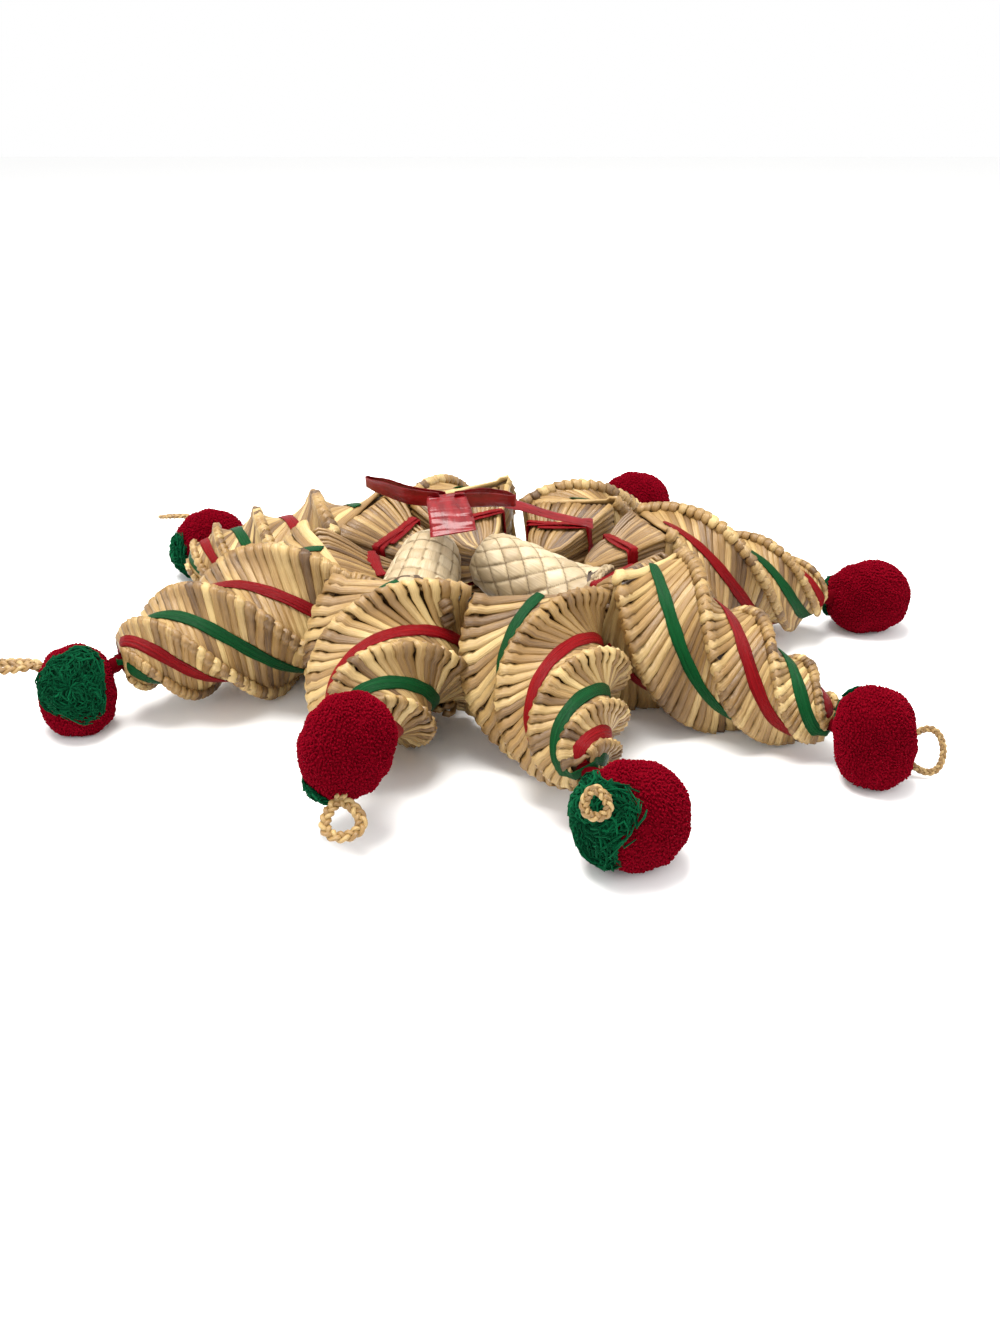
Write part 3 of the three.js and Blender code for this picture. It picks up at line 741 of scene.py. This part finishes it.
# %% The pompoms' numbers
# place: direction and distance, height, half thickness across and along its long axis, that axis,
# how boxy it is (2 is an egg) and how much its far end is fuller; the tuft's way, reach in degrees
# and thickness; the hanging loop's root, way, length, width, the way its flat side faces and the
# width of its plait
POMPOMS = {
    "left": (
        ((201.1, 206.6), 19.6, 16.5, 20.5, (0.05, 0, 1), 2.7, -0.04),
        ((0.18, -0.86, 0.48), 56, 2.5),
        ((-210.5, -73, 31), (-0.99, 0.05, -0.08), 27, 10.5, (0, 0, 1), 6.0)),
    "front_left": (
        ((248.7, 167), 36, 18.5, 22, (-0.4, -0.1, -0.9), 2.1, 0),
        ((-0.5, -0.15, -0.85), 27, 2.5),
        ((-62, -173, 21.5), (0.2, -0.9, -0.38), 16, 17, (0, -0.3, 1), 4.8)),
    "front": (
        ((285.3, 186), 19.6, 21, 21.5, (-0.88, -0.4, 0.2), 2.1, 0),
        ((-0.86, -0.5, 0.2), 56, 2.5),
        ((32.5, -199, 43), (0.1, -0.35, -0.93), 10, 11, (-0.3, -0.85, 0.45), 3.8)),
    "front_right": (
        ((322, 197.3), 20.6, 16.8, 21.6, (-0.1, 0.05, 1), 2.6, 0),
        ((-0.35, 0.88, 0.25), 32, 2),
        ((170.5, -115.2, 11), (0.98, -0.1, 0.05), 16.5, 23, (0.05, -0.92, 0.4), 3.2)),
    "right": (
        ((11, 196.5), 17.7, 18.8, 21.5, (0.97, 0.1, 0.14), 2.4, 0.1),
        ((-0.9, 0.42, -0.1), 30, 2),
        ((198, 62, 15), (0.1, 0.88, -0.42), 22, 15, (0, 0.4, 1), 4.2)),
    "back_right": (
        ((64.8, 198), 20.9, 22, 22, (0, 0, 1), 2.2, 0),
        ((-0.82, -0.42, -0.05), 34, 3),
        ((95, 204, 16), (0.35, 0.8, -0.45), 22, 15, (0, 0.4, 1), 4.2)),
    "back": (
        ((123.5, 138), 19.4, 20.5, 20.5, (0, 0, 1), 2.2, 0),
        ((0.45, 0.8, 0.4), 36, 2.5),
        ((-90, 134, 17), (-0.55, 0.7, -0.45), 22, 15, (0, 0.4, 1), 4.2)),
    "back_left": (
        ((145.5, 210), 18.8, 20, 21, (-0.72, -0.68, 0.1), 2.1, 0),
        ((-0.82, -0.45, -0.35), 44, 3.5),
        ((-190, 129, 32), (-0.75, 0.6, -0.2), 20, 14, (0, 0.2, 1), 4.2)),
}
print("pompoms, mm across:", {place: 2 * row[0][2] for place, row in POMPOMS.items()})

# %% [markdown]
# All yarn is placed by its direction from the middle of its pompom. The distance in a direction
# is a superellipse of the angle to the long axis, with slow bumps.

# %% Places on a ball of yarn
def cross_ways(direction):
    """Two unit vectors square to a direction and to each other."""
    first = unit(np.cross(direction, [0.31, 0.17, 0.94]))
    return first, np.cross(direction, first)


def ring_ways(first, second, angle):
    """first cos a + second sin a, for every angle."""
    return first * np.cos(angle)[..., None] + second * np.sin(angle)[..., None]


def turned_from(way, angle_around, angle_off):
    """Unit vector at an angle off a way: way cos b + (first cos a + second sin a) sin b."""
    way = unit(np.array(way, float))
    first, second = cross_ways(way)
    ring = ring_ways(first, second, angle_around)
    return way * np.cos(angle_off)[..., None] + ring * np.sin(angle_off)[..., None]


def on_yarn(ball, ways, grow):
    """Point = middle + way * (R + grow), where 1 / R ** p = (|cos| / along) ** p +
    (sin / across) ** p for the angle between the way and the long axis, p the boxiness."""
    (degrees, distance), lift, across, along, axis, boxy, egg = ball
    cosine = ways @ unit(np.array(axis, float))
    sine = np.sqrt(np.maximum(1 - cosine ** 2, 0))
    reach = ((np.abs(cosine) / along) ** boxy + (sine / across) ** boxy) ** (-1 / boxy)
    reach = reach * (1 + egg * cosine) + 0.35 * np.sin(ways @ [9.0, 4, 7] + degrees)
    return polar(degrees, distance, lift) + ways * (reach + grow)[..., None]


# %% [markdown]
# A plain body is covered with short tapering threads, set out by the golden angle as seeds sit in
# a sunflower, which spreads any number evenly. Small random moves hide the pattern.

# %% Pompoms
PILE_THREADS = 4200                 # cut threads of one pompom
BODY_PLACES, BODY_RINGS = 48, 30


def pompom(ball):
    """A closed body just inside the pile, and threads standing on it: number k at the angle off
    the axis arccos(1 - 2k/n) and k golden angles round it, each leaning its own way."""
    axis, count = ball[4], PILE_THREADS
    around, off = np.meshgrid(np.linspace(0, 2 * np.pi, BODY_PLACES + 1)[:-1],
                              np.linspace(0.04, np.pi - 0.04, BODY_RINGS))
    body = on_yarn(ball, turned_from(axis, around, off), np.full(around.shape, -0.7))
    off = np.arccos(1 - 2 * (np.arange(count) + 0.5) / count) + chance.normal(0, 0.014, count)
    around = np.arange(count) * np.pi * (3 - 5 ** 0.5) + chance.normal(0, 0.03, count)
    ways = turned_from(axis, around, np.clip(off, 0.01, np.pi - 0.01))
    foot = on_yarn(ball, ways, np.full(count, -1.3))
    lean = unit(ways + chance.normal(0, 0.20, (count, 3)))
    tops = foot + lean * chance.normal(1.45, 0.16, (count, 1))
    sideways = np.cross(ways, [0.2, 0.5, 0.8])
    fat = np.array([1.6, 0.9])
    tone = np.clip(chance.normal(0.5, 0.1, count), 0, 1)
    threads = tubes(np.stack([foot, tops], axis=1), np.repeat(sideways[:, None], 2, 1), fat, fat,
                    tone, sides=3)
    # the body's tone, 0.3, is below the threads' 0.5: painted shade deep in the pile
    return join_parts([stacked_rings(body, np.full(body.shape, 0.3)), threads])


def neck(arm, ball):
    """Wound threads between an arm's tip and the middle of its pompom, at tone 0, the darkest of
    the yarn: painted shade where it is hidden.
    """
    share = np.linspace(0, 0.8, 12)[:, None]
    path = (arm.middle(0.985) * (1 - share) + polar(*ball[0], ball[1]) * share)[None]
    wound = 7.0 + 0.6 * np.cos(np.arange(12) * 2.1)[None]
    return tubes(path, np.tile([0, 0, 1.0], (1, 12, 1)), wound, wound, [0.0], sides=12)


for place, (ball, _, _) in POMPOMS.items():
    new_piece(f"yarn_pompom_{place}", join_parts([pompom(ball), neck(arms[place], ball)]),
              red_yarn, f"pompom_{place}")


# %% [markdown]
# The green tuft is a loose knot of longer yarn ends over the place where the pompom is tied.
# Its strands start together and sprawl over the ball, each with its own lift and sway.

# %% Tufts
TUFT_STRANDS = 600                  # yarn ends of one tuft


def tuft(ball, cap):
    """A strand runs from one angle off the tuft's way to another; its height over the ball is a
    hump of the share of the run, and the cap's edge has lobes: reach * (1 + 0.16 sin 3a)."""
    way, reach, thick = cap
    each = (TUFT_STRANDS, 1)
    share = np.linspace(0, 1, 5)
    start = chance.uniform(0, 0.8, each)
    stop = np.minimum(start + chance.uniform(0.2, 0.5, each), chance.uniform(0.8, 1.08, each))
    around = chance.uniform(0, 2 * np.pi, each) + chance.normal(0, 0.5, each) * share
    around = around + 0.15 * np.sin(share * 7 + chance.uniform(0, 6, each))
    lobed = np.radians(reach) * (1 + 0.16 * np.sin(3 * around + ball[0][0]))
    off = lobed * (start + (stop - start) * share)
    top = chance.uniform(0.1, 1.0, each) * (thick + 1.2)
    grow = 0.4 + top * np.sin(np.pi * (0.12 + 0.78 * share)) * (1 - 0.5 * off / lobed)
    path = on_yarn(ball, turned_from(way, around, off), grow)
    path = path + chance.normal(0, 0.12, path.shape)
    sideways = np.cross(path - polar(*ball[0], ball[1]), np.gradient(path, axis=1))
    size = chance.uniform(0.8, 1.35, each) * np.array([0.7, 1.0, 1.0, 0.9, 0.5])
    tone = np.clip(chance.normal(0.45, 0.22, TUFT_STRANDS), 0, 1)
    return tubes(path, sideways, size, size, tone, sides=3)


for place, (ball, cap, _) in POMPOMS.items():
    new_piece(f"yarn_tuft_{place}", tuft(ball, cap), green_yarn, f"tuft_{place}")


# %% [markdown]
# The hanging loops are flat three-strand plaits. Each strand swings from side to side in a sine,
# a third of a turn behind the one before, and rises and falls twice as often, so that it passes
# over one neighbour and under the other.

# %% Plaits
def plait(path, side, width, pitch, tone_mid=0.6):
    """Strand k = path + side * width/3.2 * sin(p) + lift * width/7 * sin(2p), with p = 2 pi *
    length/pitch + k * 2 pi/3."""
    direction = unit(np.gradient(path, axis=0))
    side = unit(side - direction * np.sum(side * direction, -1, keepdims=True))
    lift = np.cross(direction, side)
    length = np.concatenate([[0], np.cumsum(np.linalg.norm(np.diff(path, axis=0), axis=1))])
    phase = 2 * np.pi * (length[None] / pitch) + np.arange(3)[:, None] * 2 * np.pi / 3
    strands = (path + side * (np.sin(phase) * width / 3.2)[..., None]
               + lift * (np.sin(2 * phase) * width / 7)[..., None])
    tone = np.clip(tone_mid + np.array([-0.12, 0.02, 0.14]), 0, 1)
    return tubes(strands, np.broadcast_to(side, strands.shape), width / 2.3, width / 3.4, tone,
                 sides=7)


# %% [markdown]
# A hanging loop starts and ends at one root, and both its ends run on under the tuft.

# %% Hanging loops
def hanging_loop(ball, loop):
    """A drop-shaped ring: forward by (1 - cos a)/2 of its length and sideways by sin a of half its
    width, wider away from its root; both ends go on into the tuft."""
    root, way, length, width, facing, plait_width = [np.array(x, float) for x in loop]
    forward = unit(way)
    flat = unit(facing - forward * (facing @ forward))
    sideways = np.cross(flat, forward)
    angle = np.linspace(0.0, 2 * np.pi, 90)
    ahead = (1 - np.cos(angle)) / 2
    swing = np.sin(angle) * (0.55 + 0.45 * ahead)
    path = root + forward * (length * ahead)[:, None] + sideways * (width / 2 * swing)[:, None]
    middle = polar(*ball[0], ball[1])
    inward = np.linspace(0, 1, 14)[:, None]
    goal = root + (middle - root) * min(1.0, 12 / np.linalg.norm(middle - root))
    stem = goal * (1 - inward) + root * inward
    path = np.concatenate([stem[:-1], path, stem[::-1][1:]])
    sideways = np.cross(flat, unit(np.gradient(path, axis=0)))
    return plait(path, sideways, plait_width, 2.1 * plait_width)


for place, (ball, _, loop) in POMPOMS.items():
    new_piece(f"plaited_loop_{place}", hanging_loop(ball, loop), straw, f"loop_{place}")


# %% [markdown]
# The bells are woven from strips of palm leaf about 6 mm wide: one with its strips along and
# round the bell, the other with slanting strips. The weave is worked out on the bell's own grid:
# two counts number the strips, and where their sum is even one family lies on top, elsewhere the
# other.

# %% The weave
STRIP_TONES = np.clip(np.random.default_rng(5).normal(0.66, 0.13, (2, 64)), 0.2, 1)


def weave(p, q):
    """Height 0..1 of a plain weave: the strip on top humps in the middle of its crossing and
    drops at its edges; also the tone of that strip, cut to 0.3 of it where the weave is low, which
    is painted shade in the gaps between strips."""
    i, j = np.floor(p), np.floor(q)
    over = (i + j) % 2 == 0
    lengthwise, crosswise = np.where(over, q - j, p - i), np.where(over, p - i, q - j)
    hump = np.sin(np.pi * np.clip(lengthwise, 0.02, 0.98)) ** 0.6
    height = hump * (1 - np.abs(2 * crosswise - 1) ** 8)
    first, second = (STRIP_TONES[k][(n % 64).astype(int)] for k, n in enumerate((i, j)))
    tone = np.where(over, first, second)
    # painted shade: tone * 0.3 where the height is under 0.2, at the strips' edges and in the gaps
    return height, np.where(height < 0.2, tone * 0.3, tone)


# %% [markdown]
# A bell is open and thin, so its skin runs out along the outside, round the rim and back along
# the inside. A plait is sewn round the mouth.

# %% Woven bells
BELL_PLACES = 240                   # points round a bell
BELL_OUTSIDE, BELL_INSIDE = 96, 24  # rings up the outside and back down the inside
BELL_WALL = 1.6                     # mm
BELL_POLE = 1.2                     # mm, radius of the small faces that close the crown


def bell(crown, toward, slanting):
    """Surface of revolution: crown + axis * (share * length) + ring * (radius + weave height)."""
    axis = unit(toward - crown)
    first, second = cross_ways(axis)
    share = np.concatenate([np.linspace(0.004, 1, BELL_OUTSIDE), np.linspace(1, 0.04, BELL_INSIDE)])
    wall = np.interp(share, BELL_SHARE, BELL_RADIUS)
    wall[BELL_OUTSIDE:] -= BELL_WALL
    wall[0] = wall[-1] = BELL_POLE
    angle = np.linspace(0, 2 * np.pi, BELL_PLACES + 1)[:-1]
    turns, rows = np.meshgrid(angle / (2 * np.pi), share)
    if slanting:
        height, tone = weave(turns * 9 + rows * 5, turns * 9 - rows * 5 + 40)
    else:
        height, tone = weave(turns * 14, rows * 8.5)
    radius = wall[:, None] + (height - 0.7) * 1.2
    points = (crown + axis * (share * BELL_LENGTH)[:, None, None]
              + ring_ways(first, second, angle) * radius[..., None])
    run = np.stack([rows * 50, turns * 100, tone], axis=-1)
    circle = ring_ways(first, second, np.linspace(0, 2 * np.pi, 200))
    rim = crown + axis * (BELL_LENGTH - 1.0) + circle * 26.3
    return join_parts([stacked_rings(points, run),
                       plait(rim, circle * 0.5 + axis, 4.6, 12.0, 0.35)])


for place, (crown, toward) in BELLS.items():
    new_piece(f"woven_bell_{place}", bell(crown, toward, place == "right"), palm,
              f"bell_{place}")


# %% [markdown]
# The bow is red foil. A ribbon is carried along a smooth curve through a few stops, and each stop
# says which way the ribbon's width lies, so that it can twist on its way.

# %% Ribbons
def smooth_stops(stops, count):
    """Catmull-Rom curve through rows of numbers: each span blends four neighbouring rows."""
    rows = np.array(stops, float)
    padded = np.concatenate([2 * rows[:1] - rows[1:2], rows, 2 * rows[-1:] - rows[-2:-1]])
    place = np.linspace(0, len(rows) - 1 - 1e-9, count)
    span = np.floor(place).astype(int)
    t = (place - span)[:, None]
    a, b, c, d = (padded[span + k] for k in range(4))
    return 0.5 * (2 * b + (c - a) * t + (2 * a - 5 * b + 4 * c - d) * t ** 2
                  + (3 * b - a - 3 * c + d) * t ** 3)


def ribbon(stops, count=60, thick=0.5):
    """Stops are x, y, z, the direction of the width, and the width; a little crumpled."""
    rows = smooth_stops(stops, count)
    path, wide, width = rows[:, :3], rows[:, 3:6], rows[:, 6]
    crumple = smooth_draw(count, 5, 0.5)[:, None]
    return tubes((path + np.array([0, 0.3, 0.5]) * crumple)[None], wide[None], width[None],
                 np.full((1, count), thick), [0.5], sides=16)


# %% [markdown]
# The bow's four ribbons are two loops that stand on edge, a flat panel folded forward over the
# knot, and a tail that lies nearly level and droops.

# %% The foil bow
UPRIGHT, LEVEL = (0, -0.4, 0.92), (0.1, 0.95, 0.3)    # the way of the ribbon's width
bow = join_parts([
    ribbon([(-30, -7, 87, *UPRIGHT, 9), (-46, 2, 86, *UPRIGHT, 10), (-60, 12, 87, *UPRIGHT, 9),
            (-68, 19, 87.5, *UPRIGHT, 6), (-67, 24, 87, *UPRIGHT, 6), (-56, 19, 86, *UPRIGHT, 8),
            (-43, 9, 85, *UPRIGHT, 9), (-27, -2, 86, *UPRIGHT, 9)]),
    ribbon([(-24, -8, 87, *UPRIGHT, 9), (-10, -2, 85.5, *UPRIGHT, 9), (3, 5, 82.5, *UPRIGHT, 7),
            (6, 10, 81.5, *UPRIGHT, 6), (1, 13, 82.5, *UPRIGHT, 7), (-10, 8, 85, *UPRIGHT, 8),
            (-24, 0, 86, *UPRIGHT, 8)]),
    ribbon([(-27.5, -4, 89, 0.84, 0.54, 0.1, 18), (-26.5, -14, 88.5, 0.93, 0.3, 0.05, 20),
            (-24.5, -25, 85.5, 0.95, -0.2, -0.05, 21),
            (-22.9, -36.5, 80.5, 0.79, -0.58, -0.18, 22)]),
    ribbon([(-22, -1, 86, *LEVEL, 7), (-6, 17, 79, *LEVEL, 7), (9, 25, 73, *LEVEL, 8),
            (24, 25.5, 68.5, *LEVEL, 7), (38, 25, 65.5, *LEVEL, 6), (46, 25, 64, *LEVEL, 9)]),
])
new_piece("foil_bow", bow, red_foil, "bow")

# %% [markdown]
# The star lies on a plain pale floor, which belongs to the stage and not to the star.

# %% The floor
floor_mesh = bpy.data.meshes.new("floor")
floor_mesh.from_pydata([(-4, -4, 0), (4, -4, 0), (4, 4, 0), (-4, 4, 0)], [], [(0, 1, 2, 3)])
floor = placed("floor", floor_mesh)
floor_finish = Finish("floor_white")
floor_grain = floor_finish.noise(floor_finish.place(), 40.0)
floor_mesh.materials.append(floor_finish.surface(
    floor_finish.ramp(floor_grain, [(0, (0.94, 0.94, 0.935)), (1, (0.95, 0.95, 0.945))]),
    0.8 + floor_grain * 0.1, floor_grain, 0.0001))
print("floor, m across:", floor.dimensions.x)

# %% [markdown]
# A large soft light overhead gives short blurred shadows. Weaker ones from the front and the side,
# with a bright surround, keep the valleys readable.

# %% Lights
def soft_light(name, place, target, size, power, colour=(1, 1, 1)):
    """A square area light at place that faces target."""
    lamp = bpy.data.lights.new(name, "AREA")
    lamp.size, lamp.energy, lamp.color = size, power, colour
    holder = placed(name, lamp)
    holder.location = place
    holder.rotation_euler = (Vector(target) - Vector(place)).to_track_quat("-Z", "Y").to_euler()


soft_light("overhead", (-0.25, 0.1, 1.5), (0, 0, 0.03), 0.9, 42, (1.0, 0.985, 0.96))
soft_light("front_fill", (-0.9, -1.5, 0.9), (0, 0, 0.03), 1.4, 9)
soft_light("side", (1.6, -0.5, 0.9), (0, 0, 0.03), 0.8, 9)

world = bpy.data.worlds.new("surround")
bpy.context.scene.world = world
world.use_nodes = True
surround = world.node_tree.nodes["Background"]
surround.inputs["Color"].default_value = (1, 1, 1, 1)
surround.inputs["Strength"].default_value = 1.0
print("lights:", [lamp.name for lamp in bpy.data.lights])

# %% [markdown]
# The camera stands low in front of the star and close to it, so that near arms look larger.

# %% Camera
EYE = np.array([0, -581.7, 276.7])  # mm from the star's middle
TILT = 66.27                        # degrees from straight down

camera = bpy.data.cameras.new("camera")
camera.sensor_width, camera.lens = 36, 33.93
camera.shift_x, camera.shift_y = -0.0023, -0.0338
camera.clip_start, camera.clip_end = 0.01, 50
viewer = placed("camera", camera)
viewer.location = (EYE + STAR_MIDDLE) / 1000
viewer.rotation_euler = (math.radians(TILT), 0, 0)
bpy.context.scene.camera = viewer
bpy.context.scene.view_settings.view_transform = "Standard"
print("camera at, m:", [round(x, 4) for x in viewer.location])
